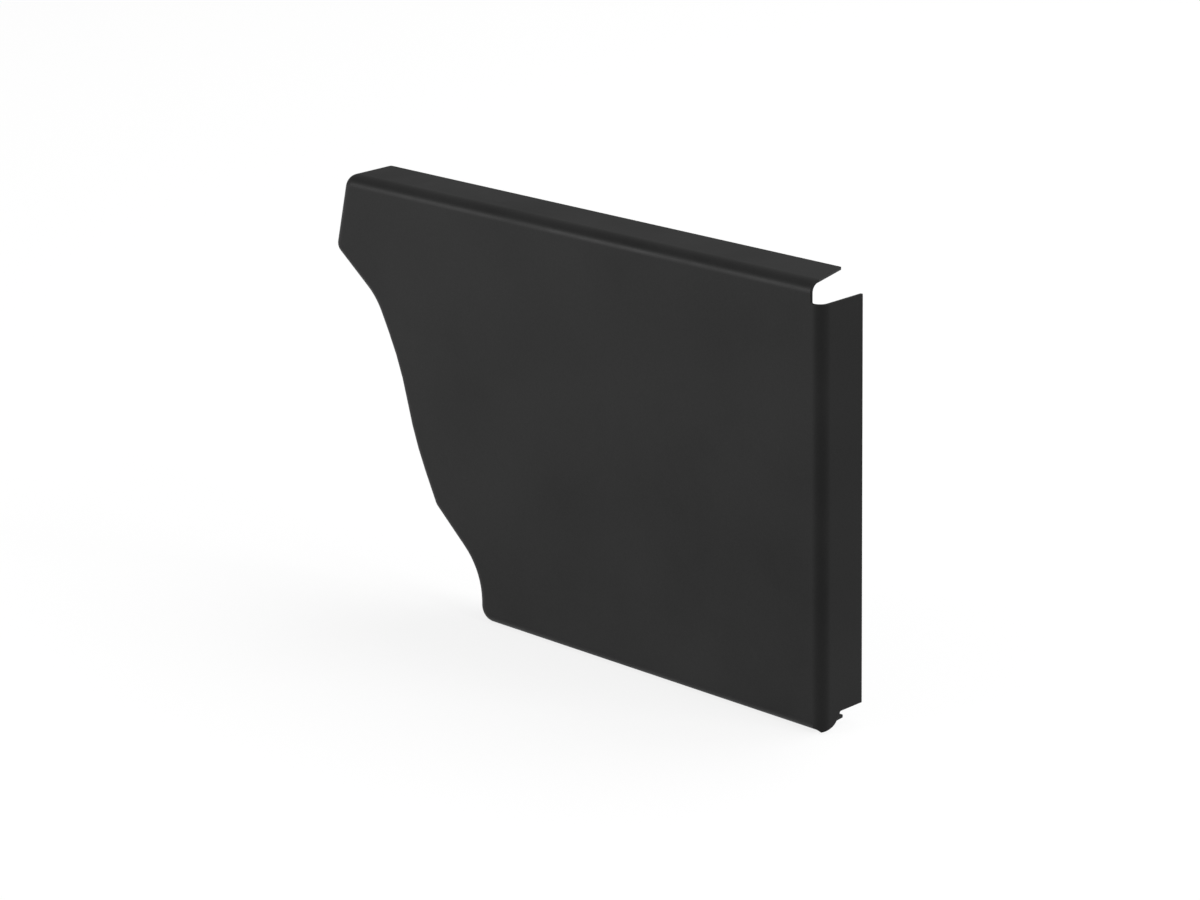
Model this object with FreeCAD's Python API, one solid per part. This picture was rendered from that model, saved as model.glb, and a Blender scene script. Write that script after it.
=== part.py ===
import FreeCAD, Part
import math
import os

from FreeCAD import Vector

# Right-hand end cap for a roof gutter with an ogee front, folded from one piece of painted
# aluminium sheet. All sizes are in millimetres. X runs from the front lip to the back wall,
# Y from the outer face towards the gutter, and Z up.

# Gutter that the cap closes, and the fit of the flanges over its end
GUTTER_WIDTH = 127.0
GUTTER_HEIGHT = 82.55
SLIP = 0.45

# Sheet, its folds and the inner corners of its notches
SHEET = 0.6
FLANGE_DEPTH = 11.1
BEND_INSIDE_RADIUS = 1.6
NOTCH_RADIUS = 0.25

# Drawn corners of the outline: how much rounder each one is than the fold that runs round it
BROW_EASE = 0.9
NOSE_EASE = 0.2
KNEE_EASE = 0.8
TOE_EASE = 1.0

# Front lip, leaning back from the nose at its foot
LIP_HEIGHT = 15.5
LIP_LEAN = 4.0

# Cove under the lip, set back from the nose and dropped from the top
COVE_SETBACK = 11.3
COVE_DROP = 24.2
COVE_RADIUS = 12.5

# Reverse curve from the cove to the knee: how far it dips in and swells out
HOLLOW = 1.3
SWELL = 0.9

# Knee and foot, set back from the nose and raised from the bottom
KNEE_SETBACK = 26.8
KNEE_HEIGHT = 21.0
FOOT_SETBACK = 39.0
FOOT_HEIGHT = 10.1

# Upright run between the foot's curve and the toe
SKIRT_HEIGHT = 1.2

# Bottom flange: how much shallower it is than the others, and how its end slants off the heel
SOLE_SETBACK = 1.7
SOLE_TAPER = 0.9

# Open notch at the top of the back fold, and the slanted end of the top flange beside it
TOP_NOTCH_WIDTH = 2.5
TOP_NOTCH_DROP = 4.05
TOP_FLANGE_TAPER = 2.6

# Heel: the back fold runs on down to a blunt point near the bottom, with a rounded tab beside it,
# and the rest of the back flange stops above the gap
HEEL_POINT_HEIGHT = 0.25
HEEL_POINT_RISE = 0.7
HEEL_TAB_DEPTH = 5.2
HEEL_TAB_TAPER = 1.4
HEEL_TAB_RISE = 1.0
HEEL_TAB_RADIUS = 3.0
HEEL_GAP = 3.3

# Sizes that follow
WIDTH = GUTTER_WIDTH + 2 * (SLIP + SHEET)
HEIGHT = GUTTER_HEIGHT + 2 * (SLIP + SHEET)
BEND_OUTSIDE_RADIUS = BEND_INSIDE_RADIUS + SHEET
TOE_RADIUS = BEND_OUTSIDE_RADIUS + TOE_EASE
BACK_FOLD = WIDTH - BEND_OUTSIDE_RADIUS
NOTCH_FLOOR = HEIGHT - TOP_NOTCH_DROP

# Cutters reach this far past the sheet, and points this close are one point
CUT_MARGIN = 2 * SHEET
SAME_POINT = 1e-6

# The drawn pan is made this much too wide, so that its far corners are cut off at the back fold
OVERRUN = 2 * BEND_OUTSIDE_RADIUS

PAST_BACK = WIDTH + OVERRUN + CUT_MARGIN
PAST_TOP = HEIGHT + CUT_MARGIN
PAST_RIM = FLANGE_DEPTH + CUT_MARGIN


def at_y(y):
    """Places flat points in an upright plane that faces the outer plate."""
    return lambda point: Vector(point.x, y, point.y)


def at_z(z):
    """Places flat points in a level plane."""
    return lambda point: Vector(point.x, point.y, z)


def at_x(x):
    """Places flat points in an upright plane that faces the back wall."""
    return lambda point: Vector(x, point.x, point.y)


def corner_frame(corners, index):
    """One corner's point, its sides as unit vectors back and ahead, their bisector and half their angle."""
    point = Vector(*corners[index][:2])
    back = (Vector(*corners[index - 1][:2]) - point).normalize()
    ahead = (Vector(*corners[(index + 1) % len(corners)][:2]) - point).normalize()
    return point, back, ahead, (back + ahead).normalize(), back.getAngle(ahead) / 2


def rounded_wire(corners, place):
    """Closed wire through flat corners (u, v, radius), each rounded by a tangent arc."""
    arcs = []
    for index, (_, _, radius) in enumerate(corners):
        point, back, ahead, bisector, half_angle = corner_frame(corners, index)
        reach = radius / math.tan(half_angle)
        middle = point + bisector * (radius / math.sin(half_angle) - radius)
        arcs.append((point + back * reach, middle, point + ahead * reach))
    edges = []
    for index, (start, middle, end) in enumerate(arcs):
        last_end = arcs[index - 1][2]
        if not last_end.isEqual(start, SAME_POINT):
            edges.append(Part.LineSegment(place(last_end), place(start)).toShape())
        if not start.isEqual(end, SAME_POINT):
            edges.append(Part.Arc(place(start), place(middle), place(end)).toShape())
    return Part.Wire(edges)


def prism(corners, place, sweep):
    """Solid swept from a closed outline of corners."""
    return Part.Face(rounded_wire(corners, place)).extrude(sweep)


def inset(corners, distance):
    """The same anticlockwise outline moved inwards by distance, with its arcs kept concentric."""
    moved = []
    for index, (_, _, radius) in enumerate(corners):
        point, back, ahead, bisector, half_angle = corner_frame(corners, index)
        inward = distance if ahead.cross(back).z > 0 else -distance
        shifted = point + bisector * (inward / math.sin(half_angle))
        moved.append((shifted.x, shifted.y, radius - inward))
    return moved


def reverse_curve(start, end):
    """Two corners, at thirds of the way, that dip in and swell out with arcs that meet halfway."""
    chord = end - start
    into_sheet = Vector(-chord.y, chord.x).normalize()
    dip = start + chord / 3 + into_sheet * HOLLOW
    bulge = start + chord * 2 / 3 - into_sheet * SWELL
    reach = (bulge - dip).Length / 2
    dip_radius = reach * math.tan((start - dip).getAngle(bulge - dip) / 2)
    bulge_radius = reach * math.tan((dip - bulge).getAngle(end - bulge) / 2)
    return [(dip.x, dip.y, dip_radius), (bulge.x, bulge.y, bulge_radius)]


def pan_outline():
    """Outline of the drawn pan as (x, z, radius) corners, anticlockwise from the top of its overrun."""
    cove = Vector(COVE_SETBACK, HEIGHT - COVE_DROP)
    knee = Vector(KNEE_SETBACK, KNEE_HEIGHT)
    foot = Vector(FOOT_SETBACK, FOOT_HEIGHT)
    foot_half_angle = (knee - foot).getAngle(Vector(0, -1)) / 2
    foot_radius = (FOOT_HEIGHT - SKIRT_HEIGHT - TOE_RADIUS) * math.tan(foot_half_angle)
    return [
        (WIDTH + OVERRUN, HEIGHT, OVERRUN),
        (LIP_LEAN, HEIGHT, BEND_OUTSIDE_RADIUS + BROW_EASE),
        (0, HEIGHT - LIP_HEIGHT, BEND_OUTSIDE_RADIUS + NOSE_EASE),
        (cove.x, cove.y, COVE_RADIUS),
        *reverse_curve(cove, knee),
        (knee.x, knee.y, BEND_OUTSIDE_RADIUS + KNEE_EASE),
        (foot.x, foot.y, foot_radius),
        (foot.x, 0, TOE_RADIUS),
        (WIDTH + OVERRUN, 0, OVERRUN),
    ]


def rounded_block(corners, front, back, bend_radius):
    """Solid between two values of Y whose front face is rounded off into its sides all round."""
    block = prism(corners, at_y(front), Vector(0, back - front, 0))
    front_edges = [edge for edge in block.Edges if edge.BoundBox.YMax < front + SAME_POINT]
    return block.makeFillet(bend_radius, front_edges)


def drawn_pan():
    """Plate with its flange folded back along the whole outline, open towards the gutter."""
    outline = pan_outline()
    outside = rounded_block(outline, 0, FLANGE_DEPTH, BEND_OUTSIDE_RADIUS)
    hollow = rounded_block(inset(outline, SHEET), SHEET, PAST_RIM, BEND_INSIDE_RADIUS)
    return outside.cut(hollow)


def overrun_cut():
    """Cutter that ends the pan along the line where the back fold starts."""
    corners = [
        (BACK_FOLD, -CUT_MARGIN, 0),
        (PAST_BACK, -CUT_MARGIN, 0),
        (PAST_BACK, PAST_RIM, 0),
        (BACK_FOLD, PAST_RIM, 0),
    ]
    return prism(corners, at_z(-CUT_MARGIN), Vector(0, 0, CUT_MARGIN + PAST_TOP))


def top_notch():
    """Cutter that opens the corner of the plate at the top of the back fold."""
    side = WIDTH - TOP_NOTCH_WIDTH
    corners = [
        (side, PAST_TOP, 0),
        (side, NOTCH_FLOOR, NOTCH_RADIUS),
        (PAST_BACK, NOTCH_FLOOR, 0),
        (PAST_BACK, PAST_TOP, 0),
    ]
    return prism(corners, at_y(-CUT_MARGIN), Vector(0, CUT_MARGIN + PAST_RIM, 0))


def top_flange_end():
    """Cutter that slants the end of the top flange away from the notch."""
    side = WIDTH - TOP_NOTCH_WIDTH
    taper_per_depth = TOP_FLANGE_TAPER / (FLANGE_DEPTH - BEND_OUTSIDE_RADIUS)
    corners = [
        (side, BEND_OUTSIDE_RADIUS, 0),
        (PAST_BACK, BEND_OUTSIDE_RADIUS, 0),
        (PAST_BACK, PAST_RIM, 0),
        (side - taper_per_depth * (PAST_RIM - BEND_OUTSIDE_RADIUS), PAST_RIM, 0),
    ]
    return prism(corners, at_z(NOTCH_FLOOR), Vector(0, 0, PAST_TOP - NOTCH_FLOOR))


def sole_trim():
    """Cutter that sets back the rim of the bottom flange and slants its end away from the heel."""
    rim = FLANGE_DEPTH - SOLE_SETBACK
    toe_end = FOOT_SETBACK + TOE_RADIUS
    corners = [
        (BACK_FOLD, BEND_OUTSIDE_RADIUS, 0),
        (PAST_BACK, BEND_OUTSIDE_RADIUS, 0),
        (PAST_BACK, PAST_RIM, 0),
        (toe_end - CUT_MARGIN, PAST_RIM, 0),
        (toe_end + SOLE_SETBACK, rim, NOTCH_RADIUS),
        (BACK_FOLD - SOLE_TAPER, rim, 0),
    ]
    return prism(corners, at_z(-CUT_MARGIN), Vector(0, 0, CUT_MARGIN + BEND_OUTSIDE_RADIUS))


def back_fold():
    """Sheet bent round into the back flange, from the tab at the heel up to the top notch."""
    section = [
        (BACK_FOLD, 0, 0),
        (WIDTH, 0, BEND_OUTSIDE_RADIUS),
        (WIDTH, FLANGE_DEPTH, 0),
        (WIDTH - SHEET, FLANGE_DEPTH, 0),
        (WIDTH - SHEET, SHEET, BEND_INSIDE_RADIUS),
        (BACK_FOLD, SHEET, 0),
    ]
    fold_middle = BEND_OUTSIDE_RADIUS * (1 - math.cos(math.pi / 4))
    point_shoulder = HEEL_POINT_HEIGHT + HEEL_POINT_RISE
    side_view = [
        (-CUT_MARGIN, point_shoulder, 0),
        (0, point_shoulder, 0),
        (fold_middle, HEEL_POINT_HEIGHT, 0),
        (HEEL_TAB_DEPTH - HEEL_TAB_TAPER, HEEL_TAB_RISE, HEEL_TAB_RADIUS),
        (HEEL_TAB_DEPTH, HEEL_GAP, NOTCH_RADIUS),
        (PAST_RIM, HEEL_GAP, 0),
        (PAST_RIM, NOTCH_FLOOR, 0),
        (-CUT_MARGIN, NOTCH_FLOOR, 0),
    ]
    straight_fold = prism(section, at_z(0), Vector(0, 0, NOTCH_FLOOR))
    side_limits = prism(side_view, at_x(BACK_FOLD), Vector(PAST_BACK - BACK_FOLD, 0, 0))
    return straight_fold.common(side_limits)


def end_cap():
    """The finished cap, upright, with its origin under the middle of its box."""
    cutters = [overrun_cut(), top_notch(), top_flange_end(), sole_trim()]
    cap = drawn_pan().cut(cutters).fuse(back_fold()).removeSplitter().Solids[0]
    box = cap.optimalBoundingBox(False, False)
    cap.translate(Vector(-box.Center.x, -box.Center.y, -box.ZMin))
    return cap


os.makedirs("parts", exist_ok=True)
end_cap().exportStep("parts/end_cap.step")
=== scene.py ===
import math

import bmesh
import bpy
import numpy
from mathutils import Matrix, Quaternion, Vector
from mathutils.geometry import delaunay_2d_cdt, intersect_point_line
from mathutils.noise import noise


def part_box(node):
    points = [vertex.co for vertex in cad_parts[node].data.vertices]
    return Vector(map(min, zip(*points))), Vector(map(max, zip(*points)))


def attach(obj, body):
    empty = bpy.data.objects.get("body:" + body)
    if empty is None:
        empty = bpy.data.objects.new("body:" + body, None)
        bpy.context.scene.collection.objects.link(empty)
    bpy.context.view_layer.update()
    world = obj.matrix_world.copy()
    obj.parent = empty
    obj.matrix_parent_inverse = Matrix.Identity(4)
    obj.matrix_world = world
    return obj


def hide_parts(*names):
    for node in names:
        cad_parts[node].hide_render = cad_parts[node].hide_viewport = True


# A gutter end cap folded from one sheet, in satin black paint, on a white studio floor. Sizes are
# in metres, and the angles of the camera and lamps in degrees.

# Camera at the photograph's viewing angle
IMAGE_WIDTH_PX = 1200
FOCAL_LENGTH_PX = 3813
SENSOR_WIDTH_MM = 36
CAMERA_AZIMUTH = 45.02
CAMERA_ELEVATION = 17.74
CAMERA_ROLL = -1.1
CAMERA_DISTANCE = 0.7685
CAMERA_AIM = Vector((-0.02781, 0.03137, 0.02590))

# Studio: floor, sky and three large softboxes
FLOOR_SIZE = 8.0
FLOOR_GREY = 0.17
FLOOR_GLOW = 0.83
WORLD_GREY = 0.30
LAMP_AIM = Vector((0, 0, 0.04))

# Each softbox: azimuth, elevation, distance, width, height, and power in watts
SOFTBOXES = {
    "softbox_left": (-34, 7, 2.0, 1.3, 0.5, 28.0),
    "softbox_back": (168, 62, 1.5, 1.2, 0.9, 13.0),
    "softbox_right": (98, 33, 2.0, 1.2, 1.0, 22.0),
}

# Sheet and its folds
SHEET = 0.0006
FOLD_RADIUS = 0.0022
NOTCH_RADIUS = 0.00025
SHEARED_EDGE_RADIUS = 0.00008
SHEARED_EDGE_STEPS = 2
SHEARED_EDGE_ANGLE = math.radians(60)

# Outline of the cap, from the nose of its front lip
NOSE_TO_BACK = 0.1291
LIP_HEIGHT = 0.0155
LIP_LEAN = 0.0040
BROW_RADIUS = 0.0031
NOSE_RADIUS = 0.0024
COVE_SETBACK = 0.0113
COVE_DROP = 0.0242
COVE_RADIUS = 0.0125
HOLLOW = 0.0013
SWELL = 0.0009
KNEE_SETBACK = 0.0268
KNEE_HEIGHT = 0.0210
KNEE_RADIUS = 0.0030
FOOT_SETBACK = 0.0390
FOOT_HEIGHT = 0.0101
SKIRT_HEIGHT = 0.0012
TOE_RADIUS = 0.0032

# Bottom flange, top notch and heel
SOLE_SETBACK = 0.0017
SOLE_TAPER = 0.0009
TOP_NOTCH_WIDTH = 0.0025
TOP_NOTCH_DROP = 0.00405
TOP_FLANGE_TAPER = 0.0026
HEEL_POINT_HEIGHT = 0.00025
HEEL_POINT_RISE = 0.0007
HEEL_TAB_DEPTH = 0.0052
HEEL_TAB_TAPER = 0.0014
HEEL_TAB_RISE = 0.0010
HEEL_TAB_RADIUS = 0.0030
HEEL_GAP = 0.0033

# Mesh of the sheet, and how far the plate dishes in between its folds
ARC_STEP = math.radians(6)
SHORTEST_STEP = 0.0001
FOLD_STEPS = 8
FLANGE_STEPS = 4
RUN_STEP = 0.004
RIM_STEP = 0.00015
MERGE_DISTANCE = 1e-6
KEEP_INSIDE_FACES = 1
DISH_DEPTH = 0.00015
DISH_WAVES_PER_METRE = 22
DISH_EDGE = 0.015

# Satin black paint
PAINT_DARK = 0.0128
PAINT_LIGHT = 0.0207
PAINT_SPECULAR = 0.1
PAINT_SMOOTHEST = 0.42
PAINT_ROUGHEST = 0.52
NOISE_LOW = 0.3
NOISE_HIGH = 0.7
CLOUD_DETAIL = 3
FINE_DETAIL = 2
CLOUDS_PER_METRE = 45
GLOSS_PER_METRE = 90
GRAIN_PER_METRE = 3000
GRAIN_SHARE = 0.3
PEEL_PER_METRE = 1400
PEEL_DEPTH = 0.00002
PEEL_STRENGTH = 0.3

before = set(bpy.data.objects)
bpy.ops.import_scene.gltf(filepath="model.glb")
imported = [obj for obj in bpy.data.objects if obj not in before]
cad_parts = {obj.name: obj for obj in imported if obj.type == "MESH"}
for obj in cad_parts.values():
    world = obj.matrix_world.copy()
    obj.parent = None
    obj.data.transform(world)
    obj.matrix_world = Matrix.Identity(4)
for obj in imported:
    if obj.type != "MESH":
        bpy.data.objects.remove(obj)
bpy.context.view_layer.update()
scene = bpy.context.scene

box_low, box_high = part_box("end_cap")
FRONT = box_low[1]
BACK = box_high[0]
TOP = box_high[2]
FLANGE_DEPTH = box_high[1] - FRONT
NOSE = BACK - NOSE_TO_BACK
BACK_FOLD = BACK - FOLD_RADIUS
NOTCH_SIDE = BACK - TOP_NOTCH_WIDTH
NOTCH_FLOOR = TOP - TOP_NOTCH_DROP
HEEL_SHOULDER = HEEL_POINT_HEIGHT + HEEL_POINT_RISE

# Points of the back fold's first upright line up to where the bottom fold line meets it
HEEL_POINTS = 2


def grey(value):
    return (value, value, value, 1)


def direction(azimuth, elevation):
    """Unit vector towards a place round the object, with azimuth 0 in front of the outer plate."""
    a = math.radians(azimuth)
    e = math.radians(elevation)
    return Vector((math.sin(a) * math.cos(e), -math.cos(a) * math.cos(e), math.sin(e)))


def add_camera():
    data = bpy.data.cameras.new("camera")
    data.sensor_width = SENSOR_WIDTH_MM
    data.lens = FOCAL_LENGTH_PX * SENSOR_WIDTH_MM / IMAGE_WIDTH_PX
    camera = bpy.data.objects.new("camera", data)
    back = direction(CAMERA_AZIMUTH, CAMERA_ELEVATION)
    roll = Quaternion((0, 0, 1), math.radians(CAMERA_ROLL))
    camera.location = CAMERA_AIM + back * CAMERA_DISTANCE
    camera.rotation_mode = "QUATERNION"
    camera.rotation_quaternion = (-back).to_track_quat("-Z", "Y") @ roll
    scene.collection.objects.link(camera)
    scene.camera = camera


def add_softbox(name, azimuth, elevation, distance, width, height, power):
    data = bpy.data.lights.new(name, "AREA")
    data.shape = "RECTANGLE"
    data.size = width
    data.size_y = height
    data.energy = power
    lamp = bpy.data.objects.new(name, data)
    back = direction(azimuth, elevation)
    lamp.location = LAMP_AIM + back * distance
    lamp.rotation_mode = "QUATERNION"
    lamp.rotation_quaternion = (-back).to_track_quat("-Z", "Y")
    scene.collection.objects.link(lamp)


def floor_material():
    """Grey that also glows up to white for what sees it straight on or in a reflection."""
    material = bpy.data.materials.new("floor")
    material.use_nodes = True
    nodes = material.node_tree.nodes
    links = material.node_tree.links
    shader = nodes["Principled BSDF"]
    shader.inputs["Base Color"].default_value = grey(FLOOR_GREY)
    shader.inputs["Roughness"].default_value = 1.0
    shader.inputs["Specular IOR Level"].default_value = 0.0
    shader.inputs["Emission Color"].default_value = (1, 1, 1, 1)
    path = nodes.new("ShaderNodeLightPath")
    camera_or_glossy = nodes.new("ShaderNodeMath")
    camera_or_glossy.operation = "MAXIMUM"
    links.new(path.outputs["Is Camera Ray"], camera_or_glossy.inputs[0])
    links.new(path.outputs["Is Glossy Ray"], camera_or_glossy.inputs[1])
    or_transmission = nodes.new("ShaderNodeMath")
    or_transmission.operation = "MAXIMUM"
    links.new(camera_or_glossy.outputs[0], or_transmission.inputs[0])
    links.new(path.outputs["Is Transmission Ray"], or_transmission.inputs[1])
    glow = nodes.new("ShaderNodeMath")
    glow.operation = "MULTIPLY"
    glow.inputs[1].default_value = FLOOR_GLOW
    links.new(or_transmission.outputs[0], glow.inputs[0])
    links.new(glow.outputs[0], shader.inputs["Emission Strength"])
    return material


def add_floor():
    half = FLOOR_SIZE / 2
    mesh = bpy.data.meshes.new("floor")
    corners = [(-half, -half, 0), (half, -half, 0), (half, half, 0), (-half, half, 0)]
    mesh.from_pydata(corners, [], [(0, 1, 2, 3)])
    mesh.materials.append(floor_material())
    floor = bpy.data.objects.new("floor", mesh)
    scene.collection.objects.link(floor)


def corner_arc(before, corner, after, radius):
    """Points round one corner of a line, each with its unit normal to the left of the line."""
    to_before = (before - corner).normalized()
    to_after = (after - corner).normalized()
    half_angle = to_before.angle(to_after) / 2
    centre = corner + (to_before + to_after).normalized() * (radius / math.sin(half_angle))
    start = corner + to_before * (radius / math.tan(half_angle)) - centre
    side = math.copysign(1, to_after.cross(to_before))
    turn = math.pi - 2 * half_angle
    steps = math.ceil(min(turn / ARC_STEP, turn * radius / SHORTEST_STEP))
    points = []
    for step in range(steps + 1):
        spoke = Matrix.Rotation(side * turn * step / steps, 2) @ start
        points.append((centre + spoke, -side * spoke.normalized()))
    return points


def rounded_line(corners):
    """Points with left normals along a line of corners (point, radius), both ends included."""
    line = []
    for (before, _), (corner, radius), (after, _) in zip(corners, corners[1:], corners[2:]):
        line += corner_arc(before, corner, after, radius)
    return [(corners[0][0], line[0][1]), *line, (corners[-1][0], line[-1][1])]


def with_run_steps(line):
    """The same line with its long straight runs divided."""
    divided = [line[0]]
    for (start, _), (end, normal) in zip(line, line[1:]):
        steps = math.ceil((end - start).length / RUN_STEP)
        divided += [(start.lerp(end, step / steps), normal) for step in range(1, steps + 1)]
    return divided


def reverse_curve(start, end):
    """Two corners that dip in and swell out between two points, with arcs that meet halfway."""
    chord = end - start
    into_sheet = Vector((-chord.y, chord.x)).normalized()
    dip = start + chord / 3 + into_sheet * HOLLOW
    bulge = start + chord * 2 / 3 - into_sheet * SWELL
    reach = (bulge - dip).length / 2
    dip_radius = reach * math.tan((start - dip).angle(bulge - dip) / 2)
    bulge_radius = reach * math.tan((dip - bulge).angle(end - bulge) / 2)
    return [(dip, dip_radius), (bulge, bulge_radius)]


def cap_outline():
    """Outline (x, z) with inward normals, from the top notch round the lip and ogee to the heel."""
    cove = Vector((NOSE + COVE_SETBACK, TOP - COVE_DROP))
    knee = Vector((NOSE + KNEE_SETBACK, KNEE_HEIGHT))
    foot = Vector((NOSE + FOOT_SETBACK, FOOT_HEIGHT))
    toe = Vector((foot.x, 0))
    foot_half_angle = (knee - foot).angle(toe - foot) / 2
    foot_radius = (FOOT_HEIGHT - SKIRT_HEIGHT - TOE_RADIUS) * math.tan(foot_half_angle)
    outline = rounded_line([
        (Vector((NOTCH_SIDE, TOP)), 0),
        (Vector((NOSE + LIP_LEAN, TOP)), BROW_RADIUS),
        (Vector((NOSE, TOP - LIP_HEIGHT)), NOSE_RADIUS),
        (cove, COVE_RADIUS),
        *reverse_curve(cove, knee),
        (knee, KNEE_RADIUS),
        (foot, foot_radius),
        (toe, TOE_RADIUS),
        (Vector((BACK_FOLD, 0)), 0),
    ])
    toe_end, up = outline[-2]
    outline.insert(-1, (toe_end + Vector((SOLE_SETBACK, 0)), up))
    return with_run_steps(outline)


def flange_depth(point):
    """Depth of the flange at a point of the outline, less along the bottom past a short ramp."""
    past_toe = point.x - (NOSE + FOOT_SETBACK + TOE_RADIUS)
    if point.y > MERGE_DISTANCE or past_toe < 0:
        return FLANGE_DEPTH
    return FLANGE_DEPTH - min(past_toe, SOLE_SETBACK)


def fold_section():
    """Points across a fold: how far each is in from the outside corner and back from the plate."""
    angles = [math.pi / 2 * step / FOLD_STEPS for step in range(FOLD_STEPS + 1)]
    return [(FOLD_RADIUS * (1 - math.sin(a)), FOLD_RADIUS * (1 - math.cos(a))) for a in angles]


def flange_row(point, inward, taper):
    """Points from the plate over the fold to the rim at one place of the outline."""
    row = []
    for inset, back in fold_section():
        place = point + inward * inset
        row.append(Vector((place.x, FRONT + back, place.y)))
    width = flange_depth(point) - FOLD_RADIUS
    shares = [RIM_STEP / width, *(step / FLANGE_STEPS for step in range(1, FLANGE_STEPS + 1))]
    for share in shares:
        row.append(Vector((point.x - taper * share, FRONT + FOLD_RADIUS + width * share, point.y)))
    return row


def flange_rows():
    """Sections of the top, front and bottom flanges round the outline, with slanted ends."""
    first, *middle, last = cap_outline()
    rows = [flange_row(*first, TOP_FLANGE_TAPER)]
    rows += [flange_row(*place, 0) for place in middle]
    rows.append(flange_row(*last, SOLE_TAPER))
    return rows


def heel_edge():
    """Lower edge (depth, z) of the back fold: a blunt point, a rounded tab and a gap to the rim."""
    fold_middle = FOLD_RADIUS * (1 - math.cos(math.pi / 4))
    tab = with_run_steps(rounded_line([
        (Vector((fold_middle, HEEL_POINT_HEIGHT)), 0),
        (Vector((HEEL_TAB_DEPTH - HEEL_TAB_TAPER, HEEL_TAB_RISE)), HEEL_TAB_RADIUS),
        (Vector((HEEL_TAB_DEPTH, HEEL_GAP)), NOTCH_RADIUS),
        (Vector((FLANGE_DEPTH, HEEL_GAP)), 0),
    ]))
    return [Vector((0, HEEL_SHOULDER)), *(point for point, normal in tab)]


def back_columns():
    """Upright lines of the back fold and its flange, from the heel's edge to the top notch."""
    edge = heel_edge()
    sections = [(BACK - inset, back) for inset, back in fold_section()]
    sections += [(BACK, point.x) for point in edge if point.x > FOLD_RADIUS]
    heel_top = HEEL_GAP + RUN_STEP
    fold_share = (FOLD_RADIUS - HEEL_SHOULDER) / (heel_top - HEEL_SHOULDER)
    heel_shares = [0, fold_share, (1 + fold_share) / 2, 1]
    steps = math.ceil((NOTCH_FLOOR - heel_top) / RUN_STEP)
    upper = [heel_top + (NOTCH_FLOOR - heel_top) * step / steps for step in range(1, steps + 1)]
    columns = []
    for x, depth in sections:
        low = numpy.interp(depth, [point.x for point in edge], [point.y for point in edge])
        heights = [low + (heel_top - low) * share for share in heel_shares] + upper
        columns.append([Vector((x, FRONT + depth, height)) for height in heights])
    return columns


def plate_loop(rows, columns):
    """Edge (x, z) of the flat plate: where the folds begin, and the top notch."""
    fold_line = [row[0] for row in rows] + columns[0][HEEL_POINTS:]
    floor_end = Vector((BACK_FOLD, NOTCH_FLOOR))
    corner = Vector((NOTCH_SIDE, NOTCH_FLOOR))
    notch = corner_arc(floor_end, corner, Vector((NOTCH_SIDE, TOP)), NOTCH_RADIUS)
    return [point.xz for point in fold_line] + [point for point, normal in notch]


def edge_distance(point, loop):
    """Distance from a point to the nearest edge of a loop."""
    distances = []
    for start, end in zip(loop, loop[1:] + loop[:1]):
        share = intersect_point_line(point, start, end)[1]
        distances.append((point - start.lerp(end, min(max(share, 0), 1))).length)
    return min(distances)


def plate_rim(rows, columns):
    """Points (x, z) just inside the fold lines, which keep the plate's shading flat up to them."""
    first_steps = [row[:2] for row in rows[:-1]]
    first_steps += list(zip(columns[0], columns[1]))[HEEL_POINTS:-1]
    points = []
    for fold_start, next_point in first_steps:
        inward = (fold_start - next_point).xz.normalized()
        points.append(fold_start.xz + inward * RIM_STEP)
    return points


def plate_grid(loop):
    """Points in staggered lines over the plate, clear of its edge."""
    line_step = RUN_STEP * math.sqrt(3) / 2
    points = []
    for line in range(1, math.ceil(TOP / line_step)):
        for step in range(math.ceil(NOSE_TO_BACK / RUN_STEP)):
            point = Vector((NOSE + RUN_STEP * (step + line % 2 / 2), line_step * line))
            if edge_distance(point, loop) > RUN_STEP / 2:
                points.append(point)
    return points


def dish(point, loop):
    """How far the plate lies in from flat at a point, uneven and nothing at the folds."""
    share = min(edge_distance(point, loop) / DISH_EDGE, 1)
    unevenness = 0.5 + 0.5 * noise(Vector((point.x, 0, point.y)) * DISH_WAVES_PER_METRE)
    return DISH_DEPTH * share * share * (3 - 2 * share) * unevenness


def add_strip(sheet, rows):
    """Faces between rows of points that all have the same length."""
    rows = [[sheet.verts.new(point) for point in row] for row in rows]
    for row, next_row in zip(rows, rows[1:]):
        for quad in zip(row, row[1:], next_row[1:], next_row):
            sheet.faces.new(quad)


def add_plate(sheet, rows, columns):
    """Triangles of the flat plate between the fold lines and the top notch, slightly dished."""
    loop = plate_loop(rows, columns)
    inside = plate_rim(rows, columns) + plate_grid(loop)
    border = list(range(len(loop)))
    points, _, triangles, *_ = delaunay_2d_cdt(
        loop + inside, [], [border], KEEP_INSIDE_FACES, MERGE_DISTANCE)
    verts = [sheet.verts.new((point.x, FRONT + dish(point, loop), point.y)) for point in points]
    for triangle in triangles:
        sheet.faces.new([verts[index] for index in triangle])
    bmesh.ops.delete(sheet, geom=[vert for vert in verts if not vert.link_faces], context="VERTS")


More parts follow.
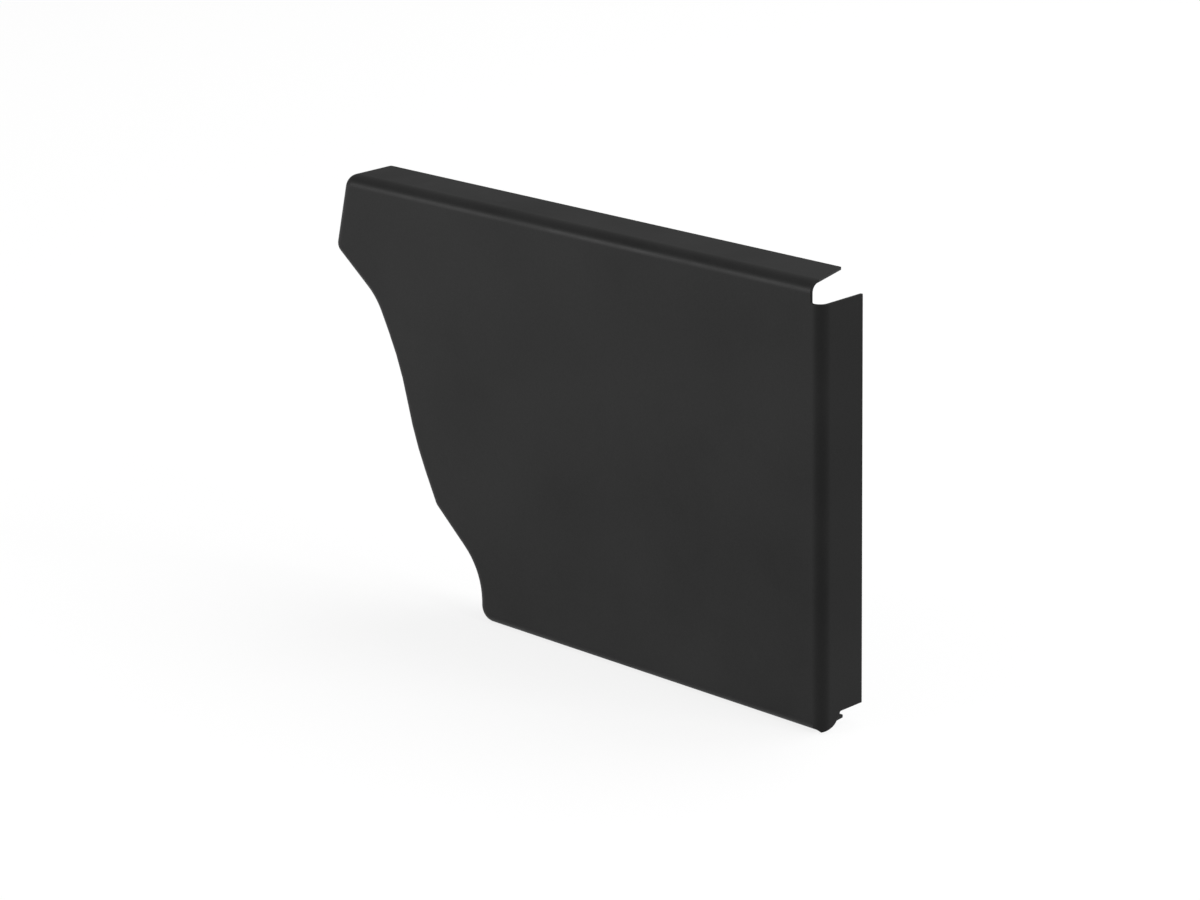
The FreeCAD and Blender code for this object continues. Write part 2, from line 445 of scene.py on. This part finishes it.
def folded_sheet():
    """The cap as one folded sheet, thickened inwards and with its sheared edges eased."""
    sheet = bmesh.new()
    rows = flange_rows()
    columns = back_columns()
    add_strip(sheet, rows)
    add_strip(sheet, columns)
    add_plate(sheet, rows, columns)
    bmesh.ops.remove_doubles(sheet, verts=sheet.verts, dist=MERGE_DISTANCE)
    bmesh.ops.recalc_face_normals(sheet, faces=sheet.faces)
    plate_face = min(sheet.faces, key=lambda face: face.calc_center_median().y)
    if plate_face.normal.y > 0:
        bmesh.ops.reverse_faces(sheet, faces=sheet.faces)
    for face in sheet.faces:
        face.smooth = True
    mesh = bpy.data.meshes.new("folded_sheet")
    sheet.to_mesh(mesh)
    sheet.free()
    piece = bpy.data.objects.new("folded_sheet", mesh)
    scene.collection.objects.link(piece)
    thickness = piece.modifiers.new("thickness", "SOLIDIFY")
    thickness.thickness = SHEET
    thickness.offset = -1
    thickness.use_even_offset = True
    thickness.use_quality_normals = True
    edges = piece.modifiers.new("sheared_edges", "BEVEL")
    edges.limit_method = "ANGLE"
    edges.angle_limit = SHEARED_EDGE_ANGLE
    edges.width = SHEARED_EDGE_RADIUS
    edges.segments = SHEARED_EDGE_STEPS
    edges.face_strength_mode = "FSTR_ALL"
    shading = piece.modifiers.new("shading", "WEIGHTED_NORMAL")
    shading.mode = "CORNER_ANGLE"
    shading.use_face_influence = True
    return piece


def add_noise(nodes, links, coordinates, scale, detail):
    texture = nodes.new("ShaderNodeTexNoise")
    texture.inputs["Scale"].default_value = scale
    texture.inputs["Detail"].default_value = detail
    links.new(coordinates.outputs["Object"], texture.inputs["Vector"])
    return texture.outputs["Fac"]


def paint():
    """Satin black paint with faint clouds in its tone and gloss, fine grain and orange peel."""
    material = bpy.data.materials.new("black_paint")
    material.use_nodes = True
    nodes = material.node_tree.nodes
    links = material.node_tree.links
    shader = nodes["Principled BSDF"]
    shader.inputs["Specular IOR Level"].default_value = PAINT_SPECULAR
    coordinates = nodes.new("ShaderNodeTexCoord")
    clouds = add_noise(nodes, links, coordinates, CLOUDS_PER_METRE, CLOUD_DETAIL)
    grain = add_noise(nodes, links, coordinates, GRAIN_PER_METRE, FINE_DETAIL)
    tone = nodes.new("ShaderNodeMix")
    tone.inputs["Factor"].default_value = GRAIN_SHARE
    links.new(clouds, tone.inputs["A"])
    links.new(grain, tone.inputs["B"])
    colour = nodes.new("ShaderNodeValToRGB")
    dark, light = colour.color_ramp.elements
    dark.position = NOISE_LOW
    dark.color = grey(PAINT_DARK)
    light.position = NOISE_HIGH
    light.color = grey(PAINT_LIGHT)
    links.new(tone.outputs["Result"], colour.inputs["Fac"])
    links.new(colour.outputs["Color"], shader.inputs["Base Color"])
    gloss = nodes.new("ShaderNodeMapRange")
    gloss.inputs["From Min"].default_value = NOISE_LOW
    gloss.inputs["From Max"].default_value = NOISE_HIGH
    gloss.inputs["To Min"].default_value = PAINT_SMOOTHEST
    gloss.inputs["To Max"].default_value = PAINT_ROUGHEST
    gloss_noise = add_noise(nodes, links, coordinates, GLOSS_PER_METRE, FINE_DETAIL)
    links.new(gloss_noise, gloss.inputs["Value"])
    links.new(gloss.outputs["Result"], shader.inputs["Roughness"])
    peel = nodes.new("ShaderNodeBump")
    peel.inputs["Strength"].default_value = PEEL_STRENGTH
    peel.inputs["Distance"].default_value = PEEL_DEPTH
    peel_noise = add_noise(nodes, links, coordinates, PEEL_PER_METRE, FINE_DETAIL)
    links.new(peel_noise, peel.inputs["Height"])
    links.new(peel.outputs["Normal"], shader.inputs["Normal"])
    return material


scene.view_settings.view_transform = "Standard"
world = bpy.data.worlds.new("studio")
world.use_nodes = True
world.node_tree.nodes["Background"].inputs["Color"].default_value = grey(WORLD_GREY)
scene.world = world
add_camera()
add_floor()
for name, placing in SOFTBOXES.items():
    add_softbox(name, *placing)

cap = folded_sheet()
cap.data.materials.append(paint())
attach(cap, "root")
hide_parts("end_cap")
